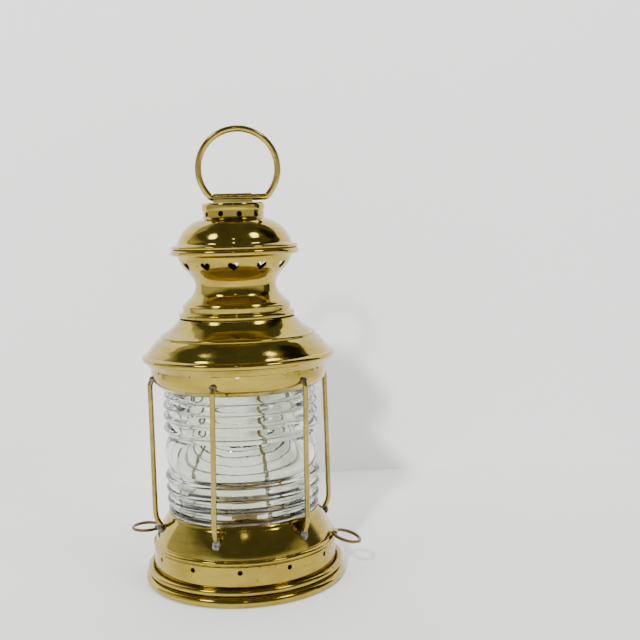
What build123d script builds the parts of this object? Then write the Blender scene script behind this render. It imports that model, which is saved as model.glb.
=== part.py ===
from build123d import *
from math import atan2, cos, degrees, hypot, radians, sin, sqrt
import os

os.makedirs("parts", exist_ok=True)

# Railway lantern in sheet brass.  Millimetres, +Z up, origin at the centre of the pan's foot.
# The lantern's front faces -Y.  Radii are measured from the lantern's axis.

# ---------------------------------------------------------------- driving sizes
base_r = 56.0            # outside of the pan's lower wired edge
shell_r = 51.0           # outside of the base shell's band
shell_top_r = 41.3       # where the shoulder meets the glass
lens_r = 42.6            # crest of the glass ribs
lens_bore_r = 36.2       # smooth inside of the glass
skirt_r = 48.7           # bowl-shaped skirt under the roof
roof_r = 53.1            # outside of the eave bead
foot_bead_r = 32.0       # bead where the chimney stands on the roof
neck_r = 22.3            # waist of the chimney
cap_bead_r = 35.2        # rolled seam under the dome
collar_r = 16.5          # vent collar on the dome
lid_r = 17.25            # flat lid on the collar

pan_lip_z = 9.4          # top of the pan's upper wired edge
band_top_z = 20.6        # top of the base shell's band
glass_z = 37.6           # underside of the glass
shoulder_z = 38.8        # top of the shell's shoulder
glass_h = 72.9           # height of the glass
skirt_z = 108.5          # lower edge of the skirt's bowl
eave_z = 125.2           # centre of the eave bead
foot_z = 148.0           # centre of the chimney's foot bead
seam_z = 184.05          # seam between the chimney and the dome
collar_z = 200.0         # base of the vent collar
lid_z = 204.8            # underside of the lid's rim
lid_h = 4.1              # height of the lid

sheet_t = 0.6            # general sheet thickness
band_t = 0.8             # base shell thickness
wire_r = 1.8             # wire of the carrying ring
ring_r = 21.6            # centre line of the carrying ring
ring_drop = 15.6         # ring centre above its flat side
ring_slide = 3.3         # sideways rest of the ring in its barrel
guard_wire_r = 1.45      # guard wires
guard_count = 6
guard_phase = -17.5      # degrees from the front, of the wire nearest the front
loop_wire_r = 0.9
loop_r = 7.6             # centre line of the side loops
loop_drop = 6.9          # loop centre to its flat side

# ---------------------------------------------------------------- fits
running = 0.06           # radial, turning wire or shaft in its bore
slide_gap = 0.35         # sliding parts
loose_gap = 0.4          # parts that pass each other
touch = 0.03             # soldered parts laid against each other


# ---------------------------------------------------------------- helpers
def offset_points(points, distance):
    """Points moved to the right-hand side of the walk along them."""
    moved = []
    last = len(points) - 1
    for i, (r, z) in enumerate(points):
        r0, z0 = points[max(i - 1, 0)]
        r1, z1 = points[min(i + 1, last)]
        length = hypot(r1 - r0, z1 - z0)
        moved.append((r + (z1 - z0) / length * distance, z - (r1 - r0) / length * distance))
    return moved


def skin(points, thickness):
    """Section of a smoothly bent sheet whose outside runs upwards through the points."""
    inner = offset_points(points, -thickness)
    outside = Spline(*points)
    inside = Spline(*inner)
    ends = [Line(outside @ 0, inside @ 0), Line(outside @ 1, inside @ 1)]
    return make_face([outside, inside] + ends)


def core(points):
    """Section of all that lies inside a bent sheet's outer face, out to a soldered piece."""
    outside = Spline(*offset_points(points, touch))
    low, high = outside @ 0, outside @ 1
    axis_line = Line((0, high.Y), (0, low.Y))
    return make_face([outside, Line(high, axis_line @ 0), axis_line, Line(axis_line @ 1, low)])


def plate(points):
    """Section with straight edges."""
    return make_face(Polyline(*points, points[0]))


def box_section(r0, r1, z0, z1):
    return plate([(r0, z0), (r1, z0), (r1, z1), (r0, z1)])


def bead(outer, z, minor):
    """Section of a wired or rolled edge whose outside is at the given radius."""
    return Pos(outer - minor, z) * Circle(minor)


def spin(*sections):
    """Solid of revolution about the lantern's axis."""
    area = sections[0]
    for piece in sections[1:]:
        area = area + piece
    return revolve(Plane.XZ * area, axis=Axis.Z)


def ring_places(count, phase):
    """Angles from the front, positive towards +X."""
    return [phase + 360.0 * i / count for i in range(count)]


def at_angle(angle):
    """Turns a thing built on the front (-Y) to its place round the axis."""
    return Rot(0, 0, angle)


def drilled(radius, depth, z, hole_r, angles):
    """Radial drills through a wall."""
    drill = Pos(0, -radius, z) * Rot(90, 0, 0) * Cylinder(hole_r, depth)
    return [at_angle(a) * drill for a in angles]


def flat_sided_ring(major, minor, drop, bend):
    """Wire ring with one flat side, centred on the origin in the XZ plane."""
    bend_z = -drop + bend
    bend_x = sqrt((major - bend) ** 2 - bend_z ** 2)
    grow = major / (major - bend)
    line_end = (bend_x, -drop)
    arc_start = (bend_x * grow, bend_z * grow)
    half = radians(0.5 * (270 + 360 + degrees(atan2(arc_start[1], arc_start[0]))))
    middle = (bend_x + bend * cos(half), bend_z + bend * sin(half))
    path = Wire([
        Line((-line_end[0], -drop), line_end),
        ThreePointArc(line_end, middle, arc_start),
        ThreePointArc(arc_start, (0, major), (-arc_start[0], arc_start[1])),
        ThreePointArc((-arc_start[0], arc_start[1]), (-middle[0], middle[1]), (-line_end[0], -drop)),
    ])
    section = Plane(origin=path @ 0, z_dir=path % 0) * Circle(minor)
    solid = sweep(section, path=path)
    return Rot(90, 0, 0) * solid


def blob(wide, deep, high):
    """A solder bead, rounded all over."""
    return scale(Sphere(1.0), by=(wide / 2, deep / 2, high / 2))


def save(name, shape):
    """Writes one piece and gives it back."""
    solids = sorted(shape.solids(), key=lambda s: -s.volume)
    if len(solids) > 1:
        print(name, "is in pieces", [round(s.volume, 2) for s in solids])
    body = solids[0]
    body.label = name
    export_step(body, f"parts/{name}.step")
    return body


# ---------------------------------------------------------------- pan
pan_wall_r = shell_r - band_t - slide_gap
pan_wall_top = 15.4
foot_minor = 2.6
foot_flat = 0.2          # depth worn off the foot, which leaves the ring it stands on
lip_minor = 1.8
pan_floor_z = 0.8
web_z = 6.4              # ledge between the pan's wall and its upper wired edge
pan_section = [
    box_section(pan_wall_r - band_t, pan_wall_r, pan_floor_z, pan_wall_top),
    box_section(0, base_r - foot_minor, pan_floor_z, pan_floor_z + 1.0),
    bead(base_r, foot_minor - foot_flat, foot_minor),
    bead(base_r - 1.2, pan_lip_z - lip_minor, lip_minor),
    box_section(pan_wall_r - 0.1, base_r - foot_minor, 2.0, web_z),
]
key_angle = -8.5
key_w = 2.2
key_top = 9.7
pan = spin(*pan_section)
pan = pan - Pos(0, 0, -5) * Box(3 * base_r, 3 * base_r, 10)
key = at_angle(key_angle) * Pos(0, -(shell_r + pan_wall_r) / 2 + 0.25, (web_z + key_top) / 2 - 0.3)
key = key * Box(key_w, shell_r - pan_wall_r + 0.1, key_top - web_z + 0.6)
base_pan = save("base_pan", pan + key)

# ---------------------------------------------------------------- base shell
band_foot_z = web_z + loose_gap
shoulder = [
    (shell_r - 1.2, band_top_z + 2.6),
    (48.9, 26.2),
    (47.3, 29.7),
    (45.3, 33.3),
    (43.2, 36.6),
    (shell_top_r, shoulder_z),
]
shell = spin(
    skin(shoulder, band_t),
    box_section(shell_r - band_t, shell_r, band_foot_z, band_top_z + 0.5),
    bead(shell_r + 0.1, band_top_z + 1.3, 1.2),
    box_section(shell_r - 2.0, shell_r - 1.0, band_top_z + 0.9, band_top_z + 2.9),
)
notch = at_angle(key_angle) * Pos(0, -shell_r, band_foot_z)
notch = notch * Box(key_w + 2 * loose_gap, 4, 2 * (key_top - band_foot_z + loose_gap))
shell = shell - notch
air_holes = drilled(shell_r, 6, 17.7, 1.4, ring_places(12, -3.7))
for hole in air_holes:
    shell = shell - hole
base_shell = save("base_shell", shell)

# ---------------------------------------------------------------- glass and its seats
seat_bore_r = lens_bore_r + 0.2
seat_t = 0.8
gasket_t = 0.8
glass_foot_r = shell_top_r - 1.3
lens_seat = save("lens_seat", spin(
    box_section(seat_bore_r, shell_top_r - 0.2, glass_z - gasket_t - seat_t, glass_z - gasket_t),
    box_section(seat_bore_r, seat_bore_r + seat_t, glass_z - 6.0, glass_z - gasket_t)))
lower_gasket = save("lower_gasket", spin(
    box_section(seat_bore_r, glass_foot_r - 0.1, glass_z - gasket_t, glass_z)))

glass_top = glass_z + glass_h
glass_neck_r = lens_r - 1.1
outline = [(lens_bore_r, glass_z), (glass_foot_r, glass_z), (glass_foot_r, shoulder_z + 0.5)]
groove = 2.0
lower_ribs = [(41.0, -0.6), (46.3, -0.1), (52.6, 0.2), (59.4, 0.5)]
upper_ribs = [(86.2, 0.3), (92.9, 0.2), (98.9, 0.1), (104.5, -0.6)]
bulge_z = 72.6


def rib_up(z, grow):
    """Prism below the bulge: fullest at its upper edge."""
    crest = lens_r + grow
    return [(crest - groove, z - 4.0), (crest - 0.9, z - 2.2), (crest - 0.1, z - 0.7), (crest, z),
            (crest - 0.6, z + 1.0)]


def rib_down(z, grow):
    """Prism above the bulge: fullest at its lower edge."""
    crest = lens_r + grow
    return [(crest - 0.6, z - 1.0), (crest, z), (crest - 0.1, z + 0.7), (crest - 0.9, z + 2.2),
            (crest - groove, z + 3.8)]


edges = [Line(outline[0], outline[1]), Line(outline[1], outline[2])]
end = outline[2]
for z, grow in lower_ribs:
    rib = rib_up(z, grow)
    if z - 4.0 <= end[1]:
        rib = rib[1:]
    edges.append(Line(end, rib[0]))
    edges.append(Spline(*rib))
    end = rib[-1]
bulge_half = 9.6
bulge_edge = lens_r - 2.6
bulge_start = (bulge_edge, bulge_z - bulge_half)
bulge_end = (bulge_edge, bulge_z + bulge_half)
edges.append(Line(end, bulge_start))
edges.append(ThreePointArc(bulge_start, (lens_r + 0.1, bulge_z), bulge_end))
end = bulge_end
for z, grow in upper_ribs:
    rib = rib_down(z, grow)
    edges.append(Line(end, rib[0]))
    edges.append(Spline(*rib))
    end = rib[-1]
top_out = (glass_neck_r - 1.2, glass_top)
edges.append(Line(end, top_out))
edges.append(Line(top_out, (lens_bore_r, glass_top)))
edges.append(Line((lens_bore_r, glass_top), outline[0]))
fresnel_lens = save("fresnel_lens", spin(make_face(edges)))

ring_out_r = lens_r - 0.3
upper_gasket = save("upper_gasket", spin(
    box_section(seat_bore_r, glass_neck_r - 1.4, glass_top, glass_top + gasket_t)))
lens_top_ring = save("lens_top_ring", spin(
    box_section(seat_bore_r, ring_out_r, glass_top + gasket_t, glass_top + gasket_t + seat_t),
    box_section(ring_out_r - sheet_t, ring_out_r, glass_top - 1.0, glass_top + gasket_t + 1.6)))

# ---------------------------------------------------------------- bowl-shaped vent skirt
skirt_top = 124.0
bowl = [
    (lens_r + 0.5, skirt_z),
    (44.9, 109.8),
    (46.7, 111.3),
    (48.0, 113.3),
    (skirt_r - 0.15, 115.8),
    (skirt_r, 118.6),
    (skirt_r, skirt_top),
]
shelf_z = glass_top + gasket_t + seat_t
vent_skirt = spin(
    skin(bowl, sheet_t),
    box_section(ring_out_r - 2.0, skirt_r - 0.5, shelf_z + 1.0, shelf_z + 1.0 + sheet_t),
    box_section(ring_out_r - 2.0, ring_out_r - sheet_t - 0.02, shelf_z, shelf_z + 1.0 + sheet_t))
for hole in drilled(skirt_r, 6, 119.9, 1.1, ring_places(12, -1.0)):
    vent_skirt = vent_skirt - hole
vent_skirt = save("vent_skirt", vent_skirt)

# ---------------------------------------------------------------- roof
crease_r = 41.8
crease_z = 136.9
upper_slope = [(crease_r, crease_z + 0.3), (38.7, 139.5), (35.6, 141.9), (33.0, 144.6), (31.9, 146.05)]
lower_slope = [(51.3, 126.8), (50.3, 128.2), (48.8, 130.0), (46.9, 132.5), (44.7, 134.8),
               (crease_r + 0.25, crease_z - 0.1)]
eave_minor = 1.75
flange = [(skirt_r + 0.63, 120.1), (49.7, 121.0), (50.7, 122.3), (51.8, 123.8)]
roof_cone = save("roof_cone", spin(
    skin(upper_slope, sheet_t), skin(lower_slope, sheet_t), skin(flange, sheet_t),
    bead(crease_r + 0.7, crease_z, 0.55),
    bead(roof_r, eave_z, eave_minor)))

# ---------------------------------------------------------------- chimney with hearts
foot_minor_c = 1.9
chimney_t = 0.5
lower_cup = [(29.7, foot_z + 1.2), (29.9, 151.0), (29.9, 152.9)]
waist = [(29.3, 153.6), (28.3, 154.9), (25.7, 157.1), (23.2, 160.0),
         (neck_r, 163.6), (neck_r + 0.15, 165.7),
         (23.3, 167.9), (25.5, 170.7), (28.5, 173.7), (30.5, 176.9), (31.3, 179.6), (32.4, 181.6)]
lip_minor_c = 1.75
chimney = spin(
    skin(waist, chimney_t), skin(lower_cup, chimney_t),
    box_section(28.9, 29.9, 152.5, 153.7),
    bead(foot_bead_r, foot_z, foot_minor_c),
    bead(cap_bead_r + 0.2, seam_z - lip_minor_c, lip_minor_c))
heart_w = 6.0
heart_h = 4.7
heart_z = 174.8


def heart_cutter():
    """Heart outline, point down, pushed radially outwards through the front of the wall."""
    lobe = heart_w / 4
    low = -heart_h + lobe * 1.5
    side = heart_w / 2 - 0.12
    outline = Polyline((0, low), (-side, 0.0 - lobe * 0.35), (0, 0.7), (side, 0.0 - lobe * 0.35), (0, low))
    shape = make_face(outline) + Pos(-lobe, 0) * Circle(lobe) + Pos(lobe, 0) * Circle(lobe)
    shape = Pos(0, heart_h / 2 - lobe) * shape
    return Pos(0, 0, heart_z) * extrude(Plane.XZ * shape, amount=40)


heart = heart_cutter()
for angle in ring_places(12, -2.0):
    chimney = chimney - at_angle(angle) * heart
chimney_body = save("chimney_body", chimney)

baffle_reach = neck_r - chimney_t - 0.08
baffle_disc_r = 11.0
baffle_z = 163.5
baffle = Pos(0, 0, baffle_z) * Cylinder(baffle_disc_r, sheet_t)
for angle in ring_places(3, 60.0):
    arm_long = baffle_reach - baffle_disc_r + 1.5
    arm = Pos(0, -baffle_reach + arm_long / 2, baffle_z) * Box(4.0, arm_long, sheet_t)
    baffle = baffle + at_angle(angle) * arm
baffle = baffle & Pos(0, 0, baffle_z) * Cylinder(baffle_reach, 4)
smoke_baffle = save("smoke_baffle", baffle)

# ---------------------------------------------------------------- dome, vent collar and lid
dome_minor = 0.95
dome_points = [(cap_bead_r - 1.3, seam_z + 1.5), (32.4, 186.2), (31.4, 187.6), (30.4, 190.1),
               (28.4, 193.3), (25.6, 196.2),
               (21.9, 198.7), (18.6, 199.9), (collar_r - 0.4, 200.4)]
chimney_dome = save("chimney_dome", spin(
    skin(dome_points, sheet_t), bead(cap_bead_r - 0.1, seam_z + 0.05 + dome_minor, dome_minor)))
collar_t = 0.5
collar = spin(box_section(collar_r - collar_t, collar_r, collar_z + 0.45, lid_z + 2.5),
              box_section(collar_r - collar_t, collar_r + 1.1, collar_z + 0.45, collar_z + 0.9))
for hole in drilled(collar_r, 5, 202.75, 1.55, ring_places(10, 10.5)):
    collar = collar - hole
vent_collar = save("vent_collar", collar)

lid_round = 1.5
lid_top = lid_z + lid_h
lid_in = collar_r + touch
lid_mid = lid_z + 2.2
lid_edges = [
    Line((lid_in, lid_z), (lid_r - 0.5, lid_z)),
    ThreePointArc((lid_r - 0.5, lid_z), (lid_r - 0.08, lid_z + 0.9), (lid_r, lid_mid)),
    ThreePointArc((lid_r, lid_mid), (lid_r - 0.45, lid_top - 0.55), (lid_r - lid_round, lid_top)),
    Line((lid_r - lid_round, lid_top), (0, lid_top)),
    Line((0, lid_top), (0, lid_top - sheet_t)),
    Line((0, lid_top - sheet_t), (lid_in - 1.2, lid_top - sheet_t)),
    Line((lid_in - 1.2, lid_top - sheet_t), (lid_in, lid_top - 1.4)),
    Line((lid_in, lid_top - 1.4), (lid_in, lid_z)),
]
vent_lid = save("vent_lid", spin(make_face(lid_edges)))

# ---------------------------------------------------------------- carrying ring and its barrel
barrel_in = wire_r + running
barrel_out = barrel_in + 0.5
barrel_half = 10.3
barrel_z = lid_top + 0.35 + barrel_out
bend_r = 3.0
along_x = Rot(0, 90, 0)
barrel_tube = Cylinder(barrel_out, 2 * barrel_half) - Cylinder(barrel_in, 3 * barrel_half)
barrel = Pos(0, 0, barrel_z) * along_x * barrel_tube
barrel_cut = Cylinder(barrel_out + 1, 0.35) - Cylinder(barrel_out - 0.2, 1)
seam_groove = Pos(0.7, 0, barrel_z) * along_x * barrel_cut
handle_barrel = save("handle_barrel", barrel - seam_groove)
saddle_high = barrel_z - lid_top - 0.6
saddle_block = Pos(0, 0, (lid_top + barrel_z) / 2 - 0.3) * Box(2 * barrel_half + 0.9, 4.4, saddle_high)
saddle_clear = Pos(0, 0, barrel_z) * along_x * Cylinder(barrel_out, 60)
barrel_saddle = save("barrel_saddle", saddle_block - saddle_clear)
ring = Pos(ring_slide, 0, barrel_z + ring_drop) * flat_sided_ring(ring_r, wire_r, ring_drop, bend_r)
handle_ring = save("handle_ring", ring)

# ---------------------------------------------------------------- guard wires and their solder
guard_r = skirt_r + 1.2
guard_head_z = 112.0     # where a wire leans in to the skirt
guard_knee_z = 37.6      # where a wire leans in to the shoulder
head_lean = (1.9, 3.4)   # inwards and upwards, of the end against the skirt
foot_lean = (3.1, 5.6)   # inwards and downwards, of the end against the shoulder
guard_path = FilletPolyline((guard_r - head_lean[0], guard_head_z + head_lean[1]), (guard_r, guard_head_z),
                            (guard_r, guard_knee_z), (guard_r - foot_lean[0], guard_knee_z - foot_lean[1]),
                            radius=[3.0, 5.0])
guard_section = Plane(origin=guard_path @ 0, z_dir=guard_path % 0) * Circle(guard_wire_r)
guard_wire = sweep(guard_section, path=guard_path)
guard_wire = Rot(0, 0, -90) * (Rot(90, 0, 0) * guard_wire)
skirt_core = spin(core(bowl))
shoulder_core = spin(core(shoulder))
guard_wire = guard_wire - skirt_core - shoulder_core
upper_blob = Pos(0, -(skirt_r + 0.1), 114.6) * blob(4.2, 3.2, 3.4)
upper_blob = upper_blob - skirt_core - guard_wire
lower_blob = Pos(0, -47.7, 31.2) * blob(4.8, 4.2, 6.0)
lower_blob = lower_blob - shoulder_core - guard_wire
for number, angle in enumerate(ring_places(guard_count, guard_phase), start=1):
    save(f"guard_wire_{number}", at_angle(angle) * guard_wire)
    save(f"upper_solder_{number}", at_angle(angle) * upper_blob)
    save(f"lower_solder_{number}", at_angle(angle) * lower_blob)

# ---------------------------------------------------------------- side loops in their lugs
lug_in = loop_wire_r + running
lug_out = lug_in + 0.6
lug_half = 2.2
loop_bend = 1.6
for side, angle, height, tilt in (("left", -105.0, 24.6, 0.0), ("right", 75.0, 24.6, -17.0)):
    lug_r = 51.7
    seat = at_angle(angle) * Pos(0, -lug_r, height)
    tube = along_x * (Cylinder(lug_out, 2 * lug_half) - Cylinder(lug_in, 4 * lug_half))
    tongue = Pos(0, 2.6, 0.4) * Box(2 * lug_half, 4.4, 1.1)
    tongue = tongue - along_x * Cylinder(lug_in + 0.01, 4 * lug_half)
    lug = seat * (tube + tongue) - base_shell
    pieces = sorted(lug.solids(), key=lambda s: -s.volume)
    save(f"loop_lug_{side}", pieces[0])
    flat_ring = Rot(90, 0, 0) * flat_sided_ring(loop_r, loop_wire_r, loop_drop, loop_bend)
    flat_ring = Pos(0, -loop_drop, 0) * flat_ring
    save(f"side_loop_{side}", seat * Rot(-tilt, 0, 0) * flat_ring)

# ---------------------------------------------------------------- oil font, on the pan
font_r = 41.0
font_z = pan_floor_z + 1.0
font_top = 17.0
collar_bore = 9.0
font_section = [
    box_section(font_r - sheet_t, font_r, font_z, font_top - 3.0),
    box_section(0, font_r - 0.1, font_z, font_z + sheet_t),
    plate([(font_r, font_top - 3.0), (font_r - sheet_t, font_top - 3.4), (collar_bore, font_top - 0.7),
           (collar_bore, font_top), (font_r - 3.0, font_top - 0.9)]),
    box_section(collar_bore, collar_bore + 2.5, font_top - 0.7, font_top + 4.0),
]
filler_x = 26.0
filler_bore = 5.0
font = spin(*font_section)
font = font - Pos(filler_x, 0, font_top) * Cylinder(filler_bore, 12)
oil_font = save("oil_font", font)
neck_tube = Cylinder(filler_bore + 1.2, 2.9) - Cylinder(filler_bore, 10)
filler_neck = Pos(filler_x, 0, font_top + 0.55) * neck_tube
filler_neck = filler_neck - oil_font
filler_neck = save("filler_neck", filler_neck)
cap_z = font_top + 2.05
filler_cap = Pos(filler_x, 0, cap_z + 1.3) * Cylinder(filler_bore + 2.0, 2.6)
for k in range(18):
    cut = Rot(0, 0, 20 * k) * Pos(filler_bore + 2.0, 0, 0) * Cylinder(0.45, 10)
    filler_cap = filler_cap - Pos(filler_x, 0, cap_z + 1.3) * cut
filler_cap = save("filler_cap", filler_cap)

# ---------------------------------------------------------------- burner
wick_w = 12.0
wick_t = 2.4
tube_t = 0.5
burner_z = font_top + 4.0
burner_r = 14.0
burner_top = 36.5
tube_top = 48.4
spindle_z = 28.6
wheel_r = 3.4
spindle_r = 1.0
spindle_y = wick_t / 2 + slide_gap + wheel_r
slot = Box(wick_w + 2 * slide_gap, wick_t + 2 * slide_gap, 400)
burner = spin(
    box_section(0, burner_r, burner_z, burner_z + 1.4),
    box_section(burner_r - 1.0, burner_r, burner_z, burner_top),
    box_section(0, collar_bore - running, burner_z - 3.4, burner_z + 0.5))
burner = burner - slot
for angle in ring_places(16, 11.25):
    air_hole = Pos(0, -burner_r, burner_top - 2.6) * Rot(90, 0, 0) * Cylinder(1.1, 6)
    burner = burner - at_angle(angle) * air_hole
bush_bore = spindle_r + running
burner = burner - Pos(0, spindle_y, spindle_z) * along_x * Cylinder(bush_bore, 80)
burner_body = save("burner_body", burner)

tube_wall = 2 * (slide_gap + tube_t)
tube_out = Box(wick_w + tube_wall, wick_t + tube_wall, tube_top - burner_z - 1.4)
wick_tube = Pos(0, 0, (tube_top + burner_z + 1.4) / 2) * tube_out - slot
window = Pos(0, spindle_y, spindle_z) * Box(wick_w - 2.0, 2 * wheel_r + 1.3, 2 * wheel_r + 1.2)
wick_tube = save("wick_tube", wick_tube - window)

deflector_pts = [(burner_r + 0.9, burner_top), (burner_r + 0.6, burner_top + 2.4),
                 (burner_r - 0.8, burner_top + 5.0),
                 (burner_r - 3.4, burner_top + 7.6), (9.4, burner_top + 8.9)]
deflector_foot = box_section(burner_r + touch, burner_r + 0.9, burner_top - 3.0, burner_top + 0.4)
deflector = spin(skin(deflector_pts, sheet_t), deflector_foot)
burner_deflector = save("burner_deflector", deflector)

# ---------------------------------------------------------------- wick, its wheels and its knob
wick_top = tube_top + 1.5
wick_foot = 7.6
wick = Pos(0, 0, (wick_top + wick_foot) / 2) * Box(wick_w, wick_t, wick_top - wick_foot)
save("wick", wick)
knob_x = 27.0
knob_r = 5.0
spindle_half = 7.0
spindle_from = -spindle_half - 8.0
spindle_long = knob_x - spindle_from
spindle_x = (knob_x + spindle_from) / 2
spindle = Pos(spindle_x, spindle_y, spindle_z) * along_x * Cylinder(spindle_r, spindle_long)
wheel = Cylinder(wheel_r, 1.6)
for k in range(12):
    notch_cut = Rot(0, 0, 30 * k) * Pos(wheel_r, 0, 0) * Rot(0, 0, 45) * Box(0.9, 0.9, 4)
    wheel = wheel - notch_cut
wheel = wheel - Cylinder(spindle_r, 4)
for name, x in (("wick_wheel_left", -2.6), ("wick_wheel_right", 2.6)):
    save(name, Pos(x, spindle_y, spindle_z) * along_x * wheel)
save("wick_spindle", spindle)
knob = Cylinder(knob_r, 2.4)
for k in range(20):
    knob = knob - Rot(0, 0, 18 * k) * Pos(knob_r + 0.15, 0, 0) * Cylinder(0.45, 6)
knob = knob + Pos(0, 0, -1.8) * Cylinder(2.4, 1.6)
knob = knob - Cylinder(spindle_r, 20)
save("wick_knob", Pos(knob_x + 0.4, spindle_y, spindle_z) * along_x * knob)
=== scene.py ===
import math
import random
from math import cos, sin, radians, pi, sqrt, hypot

import bmesh
import bpy
from mathutils import Matrix, Vector, noise


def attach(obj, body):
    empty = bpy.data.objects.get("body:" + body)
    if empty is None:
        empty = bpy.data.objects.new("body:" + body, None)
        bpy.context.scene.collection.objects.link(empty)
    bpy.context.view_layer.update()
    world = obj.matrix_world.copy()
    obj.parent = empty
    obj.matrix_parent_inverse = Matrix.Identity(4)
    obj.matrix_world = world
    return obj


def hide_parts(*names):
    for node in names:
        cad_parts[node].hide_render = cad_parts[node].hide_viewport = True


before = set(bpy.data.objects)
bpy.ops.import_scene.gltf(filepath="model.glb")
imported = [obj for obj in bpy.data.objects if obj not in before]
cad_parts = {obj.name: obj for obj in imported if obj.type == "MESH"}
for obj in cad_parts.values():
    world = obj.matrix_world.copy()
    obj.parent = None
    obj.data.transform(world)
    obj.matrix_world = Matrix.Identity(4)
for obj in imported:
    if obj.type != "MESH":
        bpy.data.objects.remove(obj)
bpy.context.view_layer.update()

MM = 0.001
AROUND = 288          # steps round a turned piece


# ------------------------------------------------------------ shader writing
class Wire:
    """A value or colour on its way through a material; arithmetic adds Math nodes."""

    def __init__(self, finish, socket):
        self.finish, self.socket = finish, socket

    def maths(self, operation, first, second=None):
        values = {0: first} if second is None else {0: first, 1: second}
        return self.finish.node("ShaderNodeMath", {"operation": operation}, values)

    def __add__(self, other):
        return self.maths("ADD", self, other)

    def __radd__(self, other):
        return self.maths("ADD", other, self)

    def __sub__(self, other):
        return self.maths("SUBTRACT", self, other)

    def __rsub__(self, other):
        return self.maths("SUBTRACT", other, self)

    def __mul__(self, other):
        return self.maths("MULTIPLY", self, other)

    def __rmul__(self, other):
        return self.maths("MULTIPLY", other, self)

    def __pow__(self, other):
        return self.maths("POWER", self, other)

    def __abs__(self):
        return self.maths("ABSOLUTE", self)

    def clipped(self):
        return self.finish.node("ShaderNodeClamp", {}, {"Value": self})


class Finish:
    """One material, built on a Principled surface."""

    home = "Object"
    ground = "Principled BSDF"

    def __init__(self, name, holder=None):
        self.material = holder or bpy.data.materials.new(name)
        self.material.use_nodes = True
        self.tree = self.material.node_tree
        self.surface = self.tree.nodes[self.ground]

    def node(self, kind, settings, sockets, output=0):
        made = self.tree.nodes.new(kind)
        for key, value in settings.items():
            setattr(made, key, value)
        for key, value in sockets.items():
            self.join(made.inputs[key], value)
        return Wire(self, made.outputs[output])

    def join(self, socket, value):
        if isinstance(value, Wire):
            self.tree.links.new(value.socket, socket)
        elif isinstance(value, tuple) and len(value) == 3 and socket.type == "RGBA":
            socket.default_value = (*value, 1.0)
        else:
            socket.default_value = value

    def set(self, **sockets):
        for key, value in sockets.items():
            self.join(self.surface.inputs[key.replace("_", " ")], value)

    def place(self):
        """Position on the lantern, in metres."""
        return self.node("ShaderNodeTexCoord", {}, {}, output=self.home)

    def stretched(self, scale):
        return self.node("ShaderNodeMapping", {}, {"Vector": self.place(), "Scale": scale})

    def cloud(self, size, detail=4.0, rough=0.55, vector=None, output=0):
        """Soft noise whose lumps are about so many metres across."""
        vector = self.place() if vector is None else vector
        return self.node("ShaderNodeTexNoise", {}, {
            "Vector": vector, "Scale": 1.0 / size, "Detail": detail, "Roughness": rough}, output)

    def step(self, value, low, high):
        """0 below low, 1 above high."""
        return self.node("ShaderNodeMapRange", {"clamp": True}, {
            "Value": value, "From Min": low, "From Max": high, "To Min": 0.0, "To Max": 1.0})

    def mix(self, amount, first, second):
        return self.node("ShaderNodeMix", {"data_type": "RGBA"}, {0: amount, 6: first, 7: second}, output=2)

    def height(self):
        return self.node("ShaderNodeSeparateXYZ", {}, {0: self.place()}, output=2)

    def bump(self, value, distance, strength=1.0):
        self.set(Normal=self.node("ShaderNodeBump", {}, {
            "Height": value, "Distance": distance, "Strength": strength}))


def brass(name, gold, tarnish, rough):
    """Polished sheet brass with cloudy tarnish, streaks and specks."""
    f = Finish(name)
    clouds = f.step(f.cloud(0.022, 5.0, 0.6), 0.46, 0.72)
    streaks = f.step(f.cloud(1.0, 4.0, 0.6, f.stretched((60.0, 60.0, 420.0))), 0.50, 0.78)
    specks = f.step(f.cloud(0.0016, 2.0, 0.5), 0.665, 0.73) * f.step(f.cloud(0.03, 2.0, 0.5), 0.45, 0.6)
    dirt = clouds * 0.35 + streaks * 0.30 + specks * 0.9
    dirt = dirt.clipped()
    redder = tuple(c * k for c, k in zip(gold, (1.0, 0.93, 0.80)))
    tint = f.mix(f.step(f.cloud(0.05, 2.0, 0.5), 0.35, 0.65), gold, redder)
    f.set(Base_Color=f.mix(dirt, tint, tarnish), Metallic=1.0)
    f.set(Roughness=rough + clouds * 0.05 + dirt * 0.22)
    scratch = f.cloud(1.0, 6.0, 0.7, f.stretched((140.0, 140.0, 2600.0)))
    dent = f.cloud(0.012, 3.0, 0.5)
    f.bump(dent + scratch * 0.06, 0.00035, 0.35)
    return f.material


GOLD = (0.43, 0.335, 0.065)
shell_brass = brass("shell_brass", GOLD, (0.085, 0.055, 0.012), 0.07)
# Dark brass as painted shade: the insides of the sheets and the ring over the glass are coloured dark to
# stand for the shade they lie in.
painted_shade_brass = brass("painted_shade_inside", (0.10, 0.07, 0.03), (0.03, 0.022, 0.014), 0.45)
guard_brass = brass("guard_brass", (0.40, 0.31, 0.09), (0.09, 0.06, 0.025), 0.16)
ring_brass = brass("ring_brass", (0.47, 0.36, 0.10), (0.10, 0.06, 0.02), 0.12)
loop_wire = brass("loop_wire", (0.24, 0.165, 0.08), (0.08, 0.05, 0.028), 0.32)
inner_brass = brass("inner_brass", (0.62, 0.43, 0.17), (0.20, 0.11, 0.04), 0.26)


def solder_grey():
    f = Finish("solder_grey")
    lumps = f.cloud(0.0012, 4.0, 0.6)
    grime = f.step(f.cloud(0.0025, 3.0, 0.6), 0.42, 0.62)
    f.set(Base_Color=f.mix(grime, (0.23, 0.225, 0.205), (0.075, 0.062, 0.04)), Metallic=0.8)
    f.set(Roughness=0.38 + grime * 0.3)
    f.bump(lumps, 0.0004, 0.6)
    return f.material


def pressed_glass():
    f = Finish("pressed_glass")
    ripples = f.cloud(0.010, 3.0, 0.5) + f.cloud(0.0035, 2.0, 0.5) * 0.12
    f.set(Base_Color=(0.80, 0.83, 0.75), Roughness=0.02, IOR=1.50, Transmission_Weight=1.0)
    f.bump(ripples, 0.0004, 0.22)
    return f.material


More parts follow.
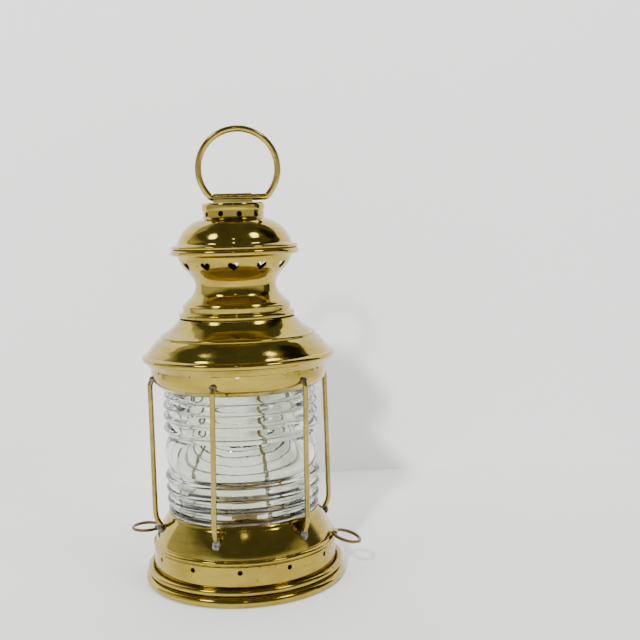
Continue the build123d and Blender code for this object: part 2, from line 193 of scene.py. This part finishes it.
def felt():
    f = Finish("gasket_felt")
    fluff = f.cloud(0.0006, 4.0, 0.7)
    f.set(Base_Color=f.mix(fluff, (0.05, 0.045, 0.04), (0.16, 0.14, 0.12)), Roughness=0.95)
    f.bump(fluff, 0.0004, 0.8)
    return f.material


def cotton():
    """Woven wick, charred along its top edge."""
    f = Finish("wick_cotton")
    weave = f.node("ShaderNodeTexWave", {"wave_type": "BANDS", "bands_direction": "DIAGONAL"},
                   {"Vector": f.place(), "Scale": 900.0, "Distortion": 1.5, "Detail": 2.0}, 1)
    char = f.step(f.height() + f.cloud(0.002, 3.0, 0.6) * 0.0012, 0.0484, 0.0498)
    yarn = f.mix(weave, (0.72, 0.66, 0.52), (0.42, 0.37, 0.27))
    f.set(Base_Color=f.mix(char, yarn, (0.015, 0.013, 0.012)), Roughness=0.9)
    f.bump(weave, 0.0003, 0.8)
    return f.material


solder = solder_grey()
glass = pressed_glass()
gasket = felt()
wick_cloth = cotton()


# ------------------------------------------------------------ mesh making
def smooth_run(points, per=6):
    """Points of a smooth curve through the given ones."""
    if len(points) < 3:
        return list(points)
    ends = [(2 * points[0][0] - points[1][0], 2 * points[0][1] - points[1][1])]
    ends += list(points)
    ends += [(2 * points[-1][0] - points[-2][0], 2 * points[-1][1] - points[-2][1])]
    line = []
    for i in range(1, len(ends) - 2):
        p0, p1, p2, p3 = ends[i - 1], ends[i], ends[i + 1], ends[i + 2]
        for k in range(per):
            t = k / per
            line.append(tuple(
                0.5 * (2 * b + (c - a) * t + (2 * a - 5 * b + 4 * c - d) * t * t
                       + (3 * b - a - 3 * c + d) * t ** 3)
                for a, b, c, d in zip(p0, p1, p2, p3)))
    line.append(points[-1])
    return line


def arc(centre_r, centre_z, minor, start, end, steps=14):
    """Round edge, angles in degrees from straight outwards, positive upwards."""
    return [(centre_r + minor * cos(radians(start + (end - start) * i / steps)),
             centre_z + minor * sin(radians(start + (end - start) * i / steps))) for i in range(steps + 1)]


def wander(seed):
    """Slow unevenness of hand-worked sheet round the lantern, as a share of a millimetre."""
    luck = random.Random(seed)
    waves = [(luck.randint(2, 9), luck.uniform(0, 2 * pi), luck.uniform(0.4, 1.0), luck.uniform(-0.09, 0.09))
             for _ in range(7)]

    def at(angle, z):
        return sum(size * sin(count * angle + phase + z * lean) for count, phase, size, lean in waves) / 4.0
    return at


def new_object(name, mesh, *finishes):
    piece = bpy.data.objects.new(name, mesh)
    for finish in finishes:
        mesh.materials.append(finish)
    bpy.context.scene.collection.objects.link(piece)
    return piece


def held(run, near=0.12):
    """A run with an extra point close to each end, which keeps its shading flat up to the edge."""
    def beside(end, towards):
        far = hypot(towards[0] - end[0], towards[1] - end[1])
        return [tuple(a + (b - a) * near / far for a, b in zip(end, towards))] if far > 4 * near else []
    return [run[0]] + beside(run[0], run[1]) + list(run[1:-1]) + beside(run[-1], run[-2]) + [run[-1]]


def turned(name, runs, finish, uneven=0.05, seed=1, around=AROUND, inside=None):
    """Piece of revolution. Each run is smooth; where two runs meet there is a crisp edge.
    The last run but one, a sheet's inside, can have a finish of its own."""
    outline, corner, hidden = [], set(), range(0)
    for number, run in enumerate(map(held, runs)):
        start = len(outline) if not outline else len(outline) - 1
        corner.add(start)
        outline += run if not outline else run[1:]
        if inside and number == len(runs) - 2:
            hidden = range(start, len(outline) - 1)
    closed = hypot(outline[0][0] - outline[-1][0], outline[0][1] - outline[-1][1]) < 1e-4
    if closed:
        outline = outline[:-1]
    wave = wander(seed)
    shape = bmesh.new()
    rings = []
    for r, z in outline:
        if r < 1e-6:
            rings.append([shape.verts.new((0, 0, z * MM))])
            continue
        ring = []
        for k in range(around):
            angle = 2 * pi * k / around
            radius = (r + uneven * wave(angle, z)) * MM
            ring.append(shape.verts.new((radius * sin(angle), -radius * cos(angle), z * MM)))
        rings.append(ring)
    count = len(rings)
    last = count if closed else count - 1
    for i in range(last):
        a, b = rings[i], rings[(i + 1) % count]
        if len(a) == 1 and len(b) == 1:
            continue
        for k in range(around):
            n = (k + 1) % around
            if len(a) == 1:
                face = shape.faces.new((a[0], b[n], b[k]))
            elif len(b) == 1:
                face = shape.faces.new((a[k], a[n], b[0]))
            else:
                face = shape.faces.new((a[k], a[n], b[n], b[k]))
            face.material_index = 1 if i in hidden else 0
    bmesh.ops.recalc_face_normals(shape, faces=shape.faces)
    for face in shape.faces:
        face.smooth = True
    for i in corner:
        ring = rings[i % count]
        if len(ring) > 1:
            for k in range(around):
                edge = shape.edges.get((ring[k], ring[(k + 1) % around]))
                if edge:
                    edge.smooth = False
    mesh = bpy.data.meshes.new(name)
    shape.to_mesh(mesh)
    shape.free()
    return new_object(name, mesh, *([finish, inside] if inside else [finish]))


def sheet_runs(outside_runs, thickness):
    """Closes a sheet's outside runs, which go upwards, with an inside towards the axis."""
    line = []
    for run in outside_runs:
        line += run if not line else run[1:]
    inside = []
    last = len(line) - 1
    for i, (r, z) in enumerate(line):
        r0, z0 = line[max(i - 1, 0)]
        r1, z1 = line[min(i + 1, last)]
        length = hypot(r1 - r0, z1 - z0) or 1.0
        inside.append((r - (z1 - z0) / length * thickness, z + (r1 - r0) / length * thickness))
    back = inside[::-1]
    return list(outside_runs) + [[line[-1], back[0]], back, [back[-1], line[0]]]


def cut(piece, cutters):
    """Cuts holes and keeps the surface's own smooth shading round them."""
    smooth = piece.copy()
    smooth.data = piece.data.copy()
    bpy.context.scene.collection.objects.link(smooth)
    tool = bmesh.new()
    for cutter in cutters:
        tool.from_mesh(cutter)
    tool_mesh = bpy.data.meshes.new("cutters")
    tool.to_mesh(tool_mesh)
    tool.free()
    block = bpy.data.objects.new("cutters", tool_mesh)
    bpy.context.scene.collection.objects.link(block)
    holes = piece.modifiers.new("holes", "BOOLEAN")
    holes.operation, holes.solver, holes.object = "DIFFERENCE", "EXACT", block
    shade = piece.modifiers.new("shade", "DATA_TRANSFER")
    shade.object = smooth
    shade.use_loop_data = True
    shade.data_types_loops = {"CUSTOM_NORMAL"}
    shade.loop_mapping = "POLYINTERP_NEAREST"
    shade.max_distance = 0.00008
    shade.use_max_distance = True
    settle(piece)
    for spare in (block, smooth):
        bpy.data.objects.remove(spare)


def settle(piece):
    """Applies a piece's modifiers."""
    graph = bpy.context.evaluated_depsgraph_get()
    made = bpy.data.meshes.new_from_object(
        piece.evaluated_get(graph), preserve_all_data_layers=True, depsgraph=graph)
    piece.modifiers.clear()
    old = piece.data
    piece.data = made
    bpy.data.meshes.remove(old)


def prism(outline, start, end, angle):
    """Cutter: an outline across the front wall, pushed radially outwards, turned to its angle."""
    shape = bmesh.new()
    near = [shape.verts.new((x * MM, -start * MM, z * MM)) for x, z in outline]
    far = [shape.verts.new((x * MM, -end * MM, z * MM)) for x, z in outline]
    count = len(outline)
    shape.faces.new(near)
    shape.faces.new(far[::-1])
    for i in range(count):
        j = (i + 1) % count
        shape.faces.new((near[j], near[i], far[i], far[j]))
    bmesh.ops.recalc_face_normals(shape, faces=shape.faces)
    shape.transform(Matrix.Rotation(radians(angle), 4, "Z"))
    mesh = bpy.data.meshes.new("cutter")
    shape.to_mesh(mesh)
    shape.free()
    return mesh


def round_outline(z, radius, luck, steps=28):
    """Punched hole, a little off its mark."""
    dx = luck.uniform(-0.35, 0.35)
    dz = luck.uniform(-0.25, 0.25)
    return [(dx + radius * cos(2 * pi * i / steps), z + dz + radius * sin(2 * pi * i / steps))
            for i in range(steps)]


def heart_outline(z, wide, high):
    line = []
    for i in range(40):
        t = 2 * pi * i / 40
        x = 16 * sin(t) ** 3
        y = 13 * cos(t) - 5 * cos(2 * t) - 2 * cos(3 * t) - cos(4 * t)
        line.append((x / 32 * wide, z + (y + 2.5) / 29 * high))
    return line


def tube(name, path, radius, finish, closed=False, sides=28):
    """Round wire along a path of points in millimetres."""
    points = [Vector(p) for p in path]
    count = len(points)
    shape = bmesh.new()
    rings = []
    across = None
    for i, p in enumerate(points):
        if closed:
            along = (points[(i + 1) % count] - points[i - 1]).normalized()
        else:
            along = (points[min(i + 1, count - 1)] - points[max(i - 1, 0)]).normalized()
        if across is None:
            across = along.orthogonal().normalized()
        across = (across - along * across.dot(along)).normalized()
        other = along.cross(across)
        ring = []
        for k in range(sides):
            angle = 2 * pi * k / sides
            ring.append(shape.verts.new((p + (across * cos(angle) + other * sin(angle)) * radius) * MM))
        rings.append(ring)
    for i in range(count if closed else count - 1):
        a, b = rings[i], rings[(i + 1) % count]
        for k in range(sides):
            n = (k + 1) % sides
            shape.faces.new((a[k], a[n], b[n], b[k]))
    if not closed:
        shape.faces.new(rings[0][::-1])
        shape.faces.new(rings[-1])
    bmesh.ops.recalc_face_normals(shape, faces=shape.faces)
    for face in shape.faces:
        face.smooth = len(face.verts) == 4
    mesh = bpy.data.meshes.new(name)
    shape.to_mesh(mesh)
    shape.free()
    return new_object(name, mesh, finish)


def blob(name, centre, size, finish, angle, seed, rough=0.12):
    """Solder bead: a lumpy drop, its size across, outwards and upwards."""
    shape = bmesh.new()
    bmesh.ops.create_icosphere(shape, subdivisions=4, radius=1.0)
    shift = Vector((seed * 3.7, seed * 1.3, 0.5))
    for vert in shape.verts:
        d = vert.co.normalized()
        lump = 1.0 + rough * noise.noise(d * 1.7 + shift) * 2 + rough * 0.5 * noise.noise(d * 4.1 + shift)
        vert.co = Vector((d.x * size[0] / 2, d.y * size[1] / 2, d.z * size[2] / 2)) * lump
    shape.transform(Matrix.Rotation(radians(angle), 4, "Z") @ Matrix.Translation(Vector(centre)))
    shape.transform(Matrix.Scale(MM, 4))
    for face in shape.faces:
        face.smooth = True
    mesh = bpy.data.meshes.new(name)
    shape.to_mesh(mesh)
    shape.free()
    return new_object(name, mesh, finish)


def stands_for(piece, body, slot, *nodes):
    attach(piece, body)
    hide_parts(*nodes)
    return piece


# ------------------------------------------------------------ base pan
pan = turned("pan_shell", [
    [(0.0, 0.8), (50.9, 0.8)],
    smooth_run([(50.9, 0.8), (51.6, 0.5), (52.4, 0.0)], 3),
    [(52.4, 0.0), (54.3, 0.0)],
    arc(53.4, 2.4, 2.6, -68, 98, 20),
    smooth_run([(53.04, 4.97), (52.1, 5.2), (51.9, 5.5), (52.1, 6.04)], 3),
    arc(53.0, 7.6, 1.8, -120, 205, 32),
    smooth_run([(51.37, 6.84), (50.9, 6.45), (50.2, 6.4), (49.9, 6.6), (49.85, 7.2)], 3),
    [(49.85, 7.2), (49.85, 15.1)],
    arc(49.45, 15.0, 0.4, 0, 180, 8),
    [(49.05, 15.0), (49.05, 1.8)],
    [(49.05, 1.8), (0.0, 1.8)],
], shell_brass, 0.05, 11)
stands_for(pan, "pan", "shell_brass", "base_pan")
KEY_ANGLE = -8.5
key_outline = [(-1.0, 6.5), (1.0, 6.5), (1.1, 8.6), (0.7, 9.6), (-0.7, 9.6), (-1.1, 8.6)]
key = new_object("pan_key", prism(key_outline, 49.6, 50.9, KEY_ANGLE), shell_brass)
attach(key, "pan")

# ------------------------------------------------------------ base shell
shell = turned("base_shell_skin", sheet_runs([
    [(51.0, 6.9), (51.0, 20.2)],
    smooth_run([(51.0, 20.2), (50.7, 20.7), (50.75, 20.9)], 3),
    arc(49.95, 21.95, 1.2, -50, 60, 14),
    smooth_run([(50.3, 23.2), (49.8, 23.5), (49.5, 24.6), (48.9, 26.2), (47.3, 29.7), (45.3, 33.3),
                (43.4, 36.3)], 6),
    smooth_run([(43.4, 36.3), (42.6, 37.4), (42.2, 38.3)], 4),
    smooth_run([(42.2, 38.3), (41.7, 38.8), (41.1, 38.9)], 3),
], 0.7), shell_brass, 0.06, 5)
luck = random.Random(7)
notch = [(-1.5, 5.0), (1.5, 5.0), (1.5, 9.8), (1.2, 10.1), (-1.2, 10.1), (-1.5, 9.8)]
cut(shell, [prism(round_outline(17.7, 1.4, luck), 46, 56, -3.7 + 30 * i) for i in range(12)]
    + [prism(notch, 46, 56, KEY_ANGLE)])
stands_for(shell, "lantern", "shell_brass", "base_shell")

# ------------------------------------------------------------ glass
lens_runs = [[(36.2, 37.6), (40.0, 37.6)], [(40.0, 37.6), (40.0, 39.3)]]
end = (40.0, 39.3)


def prism_runs(z, grow, up):
    """One rib: gentle slope to a rounded crest, then a steep step."""
    crest, side = 42.6 + grow, 1.0 if up else -1.0
    run = [(crest - 2.1, z - side * 3.9), (crest - 0.95, z - side * 2.2), (crest - 0.2, z - side * 0.9),
           (crest, z), (crest - 0.35, z + side * 0.75), (crest - 1.5, z + side * 1.25)]
    return run if up else run[::-1]


for z, grow in ((41.0, -0.6), (46.3, -0.1), (52.6, 0.2), (59.4, 0.5)):
    rib = prism_runs(z, grow, True)
    if rib[0][1] < end[1]:
        rib = rib[1:]
    lens_runs.append(smooth_run([end, rib[0]], 1))
    lens_runs.append(smooth_run(rib, 6))
    end = rib[-1]
middle = 72.6
swell = 9.4
waist_r = 40.0
radius = (swell ** 2 + 2.7 ** 2) / (2 * 2.7)
belly = [(42.7 - radius + radius * cos(a), middle + radius * sin(a))
         for a in [math.asin(swell / radius) * (k / 16 - 1) for k in range(33)]]
lens_runs.append([end, (waist_r - 0.2, end[1] + 1.0), belly[0]])
lens_runs.append(belly)
end = belly[-1]
first = True
for z, grow in ((86.2, 0.3), (92.9, 0.2), (98.9, 0.1), (104.5, -0.6)):
    rib = prism_runs(z, grow, False)
    lens_runs.append([end, (waist_r - 0.2, rib[0][1] - 1.0), rib[0]] if first else [end, rib[0]])
    first = False
    lens_runs.append(smooth_run(rib, 6))
    end = rib[-1]
lens_runs.append([end, (40.3, 110.5)])
lens_runs.append([(40.3, 110.5), (36.2, 110.5)])
lens_runs.append([(36.2, 110.5), (36.2, 37.6)])
lens = turned("pressed_lens", lens_runs, glass, 0.10, 21, 320)
stands_for(lens, "lantern", "lens_glass", "fresnel_lens")

# ------------------------------------------------------------ ring over the glass, skirt, roof
skirt = turned("skirt_wall", sheet_runs([
    arc(42.95, 108.75, 0.3, -150, -60, 5),
    smooth_run([(43.1, 108.5), (43.9, 109.0), (44.9, 109.8), (46.7, 111.3), (48.0, 113.3), (48.55, 115.8),
                (48.7, 118.6), (48.7, 120.4)], 6),
    [(48.7, 120.4), (48.7, 124.0)],
], 0.6), shell_brass, 0.06, 32, inside=painted_shade_brass)
cut(skirt, [prism(round_outline(119.9, 1.1, luck), 43, 53, -1.0 + 30 * i) for i in range(12)])
stands_for(skirt, "lantern", "shell_brass", "vent_skirt")
roof = turned("roof_bell", sheet_runs([
    smooth_run([(49.0, 119.9), (49.35, 120.3), (49.75, 121.0), (50.7, 122.3), (51.6, 123.45)], 5),
    arc(51.35, 125.2, 1.75, -72, 80, 18),
    smooth_run([(51.65, 126.95), (50.9, 127.35), (50.2, 128.3), (48.8, 130.0), (46.9, 132.4),
                (44.9, 134.5), (42.9, 136.0)], 6),
    arc(41.95, 136.75, 0.85, -30, 75, 8),
    smooth_run([(42.1, 137.55), (40.9, 138.1), (38.7, 139.55), (35.6, 141.9), (33.2, 144.4),
                (32.0, 146.1)], 6),
], 0.6), shell_brass, 0.07, 33, inside=painted_shade_brass)
stands_for(roof, "lantern", "shell_brass", "roof_cone")

# ------------------------------------------------------------ chimney, dome, collar and lid
chimney = turned("chimney_cup", sheet_runs([
    arc(30.1, 148.0, 1.9, -88, 88, 18),
    smooth_run([(30.17, 149.9), (29.75, 150.3), (29.75, 151.5), (29.9, 152.7)], 4),
    smooth_run([(29.9, 152.7), (29.7, 153.4), (29.0, 153.8)], 4),
    smooth_run([(29.0, 153.8), (28.2, 154.9), (25.7, 157.1), (23.3, 160.0), (22.3, 163.4), (22.45, 165.7),
                (23.4, 168.0), (25.5, 170.7), (28.4, 173.7), (30.4, 176.9), (31.2, 179.2)], 7),
    smooth_run([(31.2, 179.2), (31.8, 180.2), (33.0, 180.6)], 4),
    arc(33.6, 182.3, 1.75, -88, 74, 16),
], 0.5), shell_brass, 0.06, 41, 360, inside=painted_shade_brass)
cut(chimney, [prism(heart_outline(174.9, 5.9, 4.9), 20, 36, -2.0 + 30 * i) for i in range(12)])
stands_for(chimney, "lantern", "shell_brass", "chimney_body")
dome = turned("dome_cap", sheet_runs([
    arc(34.1, 185.1, 0.98, -85, 95, 14),
    smooth_run([(34.0, 186.08), (32.9, 186.25), (31.9, 186.9), (31.3, 187.9), (30.4, 190.1), (28.4, 193.3),
                (25.6, 196.2), (21.9, 198.7), (18.8, 199.9), (16.0, 200.4)], 7),
], 0.55), shell_brass, 0.06, 42, inside=painted_shade_brass)
stands_for(dome, "lantern", "shell_brass", "chimney_dome")
collar = turned("collar_band", sheet_runs([
    smooth_run([(17.9, 200.1), (17.4, 200.3), (16.8, 200.8)], 4),
    smooth_run([(16.8, 200.8), (16.5, 201.4), (16.5, 207.2)], 4),
], 0.5), shell_brass, 0.03, 43, inside=painted_shade_brass)
cut(collar, [prism(round_outline(202.75, 1.55, luck), 12, 20, 10.5 + 36 * i) for i in range(10)])
stands_for(collar, "lantern", "shell_brass", "vent_collar")
lid = turned("lid_cap", [
    [(16.55, 207.5), (16.55, 204.9)],
    arc(16.85, 204.95, 0.28, -180, -50, 8),
    smooth_run([(17.03, 204.74), (17.2, 205.4), (17.27, 206.6), (17.15, 207.6), (16.75, 208.4),
                (16.1, 208.78), (15.2, 208.85)], 5),
    smooth_run([(15.2, 208.85), (9.0, 208.82), (0.0, 208.9)], 4),
    [(0.0, 208.9), (0.0, 208.3)],
    [(0.0, 208.3), (15.3, 208.25)],
    smooth_run([(15.3, 208.25), (16.2, 208.1), (16.55, 207.5)], 3),
], shell_brass, 0.05, 44)
stands_for(lid, "lantern", "shell_brass", "vent_lid")

# ------------------------------------------------------------ carrying ring and barrel
BARREL_Z = 211.61


def flat_sided(major, drop, bend, steps=120):
    """Path of a ring with one flat side, centred on the origin in the XZ plane."""
    bend_z = -drop + bend
    bend_x = sqrt((major - bend) ** 2 - bend_z ** 2)
    turn = math.atan2(bend_z, bend_x)
    path = [(bend_x * (k / 6 - 1), -drop) for k in range(13)][:-1]
    start = -pi / 2
    path += [(bend_x + bend * cos(start + (turn - start) * k / 10),
              bend_z + bend * sin(start + (turn - start) * k / 10)) for k in range(10)]
    sweep = pi - 2 * turn
    path += [(major * cos(turn + sweep * k / steps), major * sin(turn + sweep * k / steps))
             for k in range(steps)]
    path += [(-bend_x + bend * cos(pi - turn + (turn + pi / 2) * k / 10),
              bend_z + bend * sin(pi - turn + (turn + pi / 2) * k / 10)) for k in range(10)]
    return path


ring_path = [(3.3 + x, 0.0, BARREL_Z + 15.6 + z) for x, z in flat_sided(21.6, 15.6, 3.0)]
ring = tube("carrying_ring_wire", ring_path, 1.8, ring_brass, closed=True, sides=40)
stands_for(ring, "carrying_ring", "ring_brass", "handle_ring")

finish_of = {
    "handle_barrel": shell_brass, "loop_lug_left": shell_brass, "loop_lug_right": shell_brass,
    # The ring over the glass takes the dark painted-shade brass, standing for the shade it lies in under the
    # skirt.
    "barrel_saddle": ring_brass, "lens_top_ring": painted_shade_brass, "wick": wick_cloth,
    "lower_gasket": gasket, "upper_gasket": gasket,
}
for node in ("lens_seat", "smoke_baffle", "oil_font", "filler_neck", "filler_cap", "burner_body",
             "burner_deflector", "wick_tube", "wick_spindle", "wick_wheel_left", "wick_wheel_right",
             "wick_knob"):
    finish_of[node] = inner_brass
for node, finish in finish_of.items():
    kept = bpy.data.objects[node]
    if not kept.material_slots:
        kept.data.materials.append(finish)
    for place in kept.material_slots:
        place.link = "OBJECT"
        place.material = finish

# ------------------------------------------------------------ guard wires
GUARD_R = 49.9
GUARD_PHASE = -17.5


def guard_path(seed):
    """Wire from the skirt down to the shoulder, each with its own slight lean and bow."""
    luck = random.Random(seed)
    bow = luck.uniform(-0.25, 0.1)
    head, foot = luck.uniform(0.4, 1.3), luck.uniform(-1.7, -0.7)
    line = smooth_run([(48.0, 115.4), (48.9, 113.9), (49.6, 112.3), (GUARD_R, 110.0), (GUARD_R, 96.0),
                       (GUARD_R + bow, 78.0), (GUARD_R, 60.0), (GUARD_R, 45.0), (GUARD_R - 0.1, 40.0),
                       (49.45, 37.6), (48.5, 35.2), (46.9, 32.3)], 6)
    high, low = line[0][1], line[-1][1]
    return [(r, z, foot + (head - foot) * (z - low) / (high - low)) for r, z in line]


for i in range(6):
    angle = GUARD_PHASE + 60 * i
    route = guard_path(i)
    path = [(r * sin(radians(angle + lean)), -r * cos(radians(angle + lean)), z) for r, z, lean in route]
    wire = tube(f"guard_{i + 1}", path, 1.42, guard_brass)
    stands_for(wire, "lantern", "guard_brass", f"guard_wire_{i + 1}")
    head_lean, foot_lean = route[0][2], route[-1][2]
    top = blob(f"solder_top_{i + 1}", (0, -48.75, 114.6), (3.9, 2.9, 3.2), solder, angle + head_lean, i + 1)
    stands_for(top, "lantern", "solder", f"upper_solder_{i + 1}")
    low = blob(f"solder_foot_{i + 1}", (0, -47.5, 31.3), (4.4, 3.8, 6.0), solder, angle + foot_lean, i + 11)
    stands_for(low, "lantern", "solder", f"lower_solder_{i + 1}")

# ------------------------------------------------------------ side loops
for side, angle, tilt in (("left", -105.0, 0.0), ("right", 75.0, -17.0)):
    turn = Matrix.Rotation(radians(angle), 4, "Z")
    seat = turn @ Matrix.Translation(Vector((0, -51.7, 24.6))) @ Matrix.Rotation(radians(-tilt), 4, "X")
    path = [seat @ Vector((x, -6.9 - z, 0.0)) for x, z in flat_sided(7.6, 6.9, 1.6, 72)]
    loop = tube(f"strap_loop_{side}", path, 0.9, loop_wire, closed=True, sides=24)
    stands_for(loop, f"loop_{side}", "loop_wire", f"side_loop_{side}")

# ------------------------------------------------------------ studio
def plain(name, shade, rough):
    f = Finish(name)
    grain = f.cloud(0.25, 3.0, 0.5)
    f.set(Base_Color=f.mix(grain, tuple(c * 0.97 for c in shade), shade), Roughness=rough)
    return f.material


def flat_stage(name, corners, finish):
    mesh = bpy.data.meshes.new(name)
    mesh.from_pydata(corners, [], [tuple(range(len(corners)))])
    piece = new_object(name, mesh, finish)
    return piece


paper = plain("paper", (0.90, 0.90, 0.90), 0.7)
flat_stage("floor", [(-3, -3, 0), (3, -3, 0), (3, 0.21, 0), (-3, 0.21, 0)], paper)
flat_stage("wall", [(-0.48, 0.21, 0), (0.62, 0.21, 0), (0.62, 0.21, 0.52), (-0.48, 0.21, 0.52)], paper)


def lamp(name, place, aim, size, power):
    data = bpy.data.lights.new(name, "AREA")
    data.shape = "RECTANGLE"
    data.size, data.size_y = size
    data.energy = power
    piece = bpy.data.objects.new(name, data)
    piece.location = place
    piece.rotation_euler = (Vector(aim) - Vector(place)).to_track_quat("-Z", "Y").to_euler()
    piece.visible_glossy = False
    bpy.context.scene.collection.objects.link(piece)
    return piece


lamp("key", (-0.62, -1.75, 1.22), (0, 0.1, 0.12), (0.13, 0.13), 54)
lamp("fill", (1.0, -1.1, 0.9), (0, 0, 0.12), (0.5, 0.6), 9)
lamp("top", (0.0, -0.1, 1.6), (0, 0.1, 0.1), (1.4, 1.0), 12)


class Room(Finish):
    """The light tent all round, with the dark of the room showing where it is open overhead."""

    home = "Generated"
    ground = "Background"


world = bpy.data.worlds.new("room")
bpy.context.scene.world = world
room = Room("room", world)
heading = room.place()
x, y, z = (room.node("ShaderNodeSeparateXYZ", {}, {0: heading}, output=axis) for axis in "XYZ")
side = room.node("ShaderNodeMath", {"operation": "ARCTAN2"}, {0: x, 1: -1.0 * y})
rise = room.node("ShaderNodeMath", {"operation": "ARCSINE"}, {0: z})
ragged = (room.cloud(0.45, 3.0, 0.6) - 0.5) * 0.5
cosine = x * 0.06 - y * 0.25 + z * 0.966
from_cap = room.node("ShaderNodeMath", {"operation": "ARCCOSINE"}, {0: cosine * 0.9999})
dark = room.step(from_cap + ragged * 0.5, radians(72), radians(56))
panel = room.step(abs(side + radians(132)) + ragged * 0.2, radians(22), radians(17))
panel = panel * room.step(rise, radians(24), radians(28))
dark = dark * (1.0 - panel * room.step(rise, radians(60), radians(54)) * 0.8)
card = room.step(abs(side - radians(98)) + ragged * 0.2, radians(15), radians(11))
card = card * room.step(rise, radians(62), radians(56))
glow = 0.84 * (1.0 - dark * (0.84 + ragged * 0.3)) * (1.0 - card * 0.85)
for turn_to, height, wide in ((-62, 52, 5.5), (60, 54, 5.5), (-2, 48, 1.6)):
    reach = radians(wide)
    off_side = (side - radians(turn_to)) * cos(radians(height))
    off_rise = rise - radians(height)
    apart = (off_side * off_side + off_rise * off_rise) ** 0.5
    glow = glow + room.step(apart, reach * 1.25, reach) * 13.0
room.join(room.surface.inputs["Color"], room.mix(dark, (0.97, 0.98, 1.0), (0.95, 0.97, 0.84)))
room.join(room.surface.inputs["Strength"], glow)

# ------------------------------------------------------------ view
K = 56.0 / 52.0
yaw, pitch, roll = radians(4.75), radians(6.07), radians(-1.62)
ahead = Vector((sin(yaw) * cos(pitch), cos(yaw) * cos(pitch), -sin(pitch)))
right = Vector((cos(yaw), -sin(yaw), 0))
up = right.cross(ahead)
right, up = right * cos(roll) + up * sin(roll), up * cos(roll) - right * sin(roll)
view = bpy.data.cameras.new("view")
view.sensor_width = 36.0
view.lens = 1000 / 640 * 36.0
view.clip_start = 0.01
camera = bpy.data.objects.new("view", view)
camera.matrix_world = Matrix((
    (right.x, up.x, -ahead.x, 0.0),
    (right.y, up.y, -ahead.y, -0.5143 * K),
    (right.z, up.z, -ahead.z, 0.1871 * K),
    (0, 0, 0, 1)))
bpy.context.scene.collection.objects.link(camera)
bpy.context.scene.camera = camera


def corners(box):
    return [[float(v) for v in corner] for corner in box]
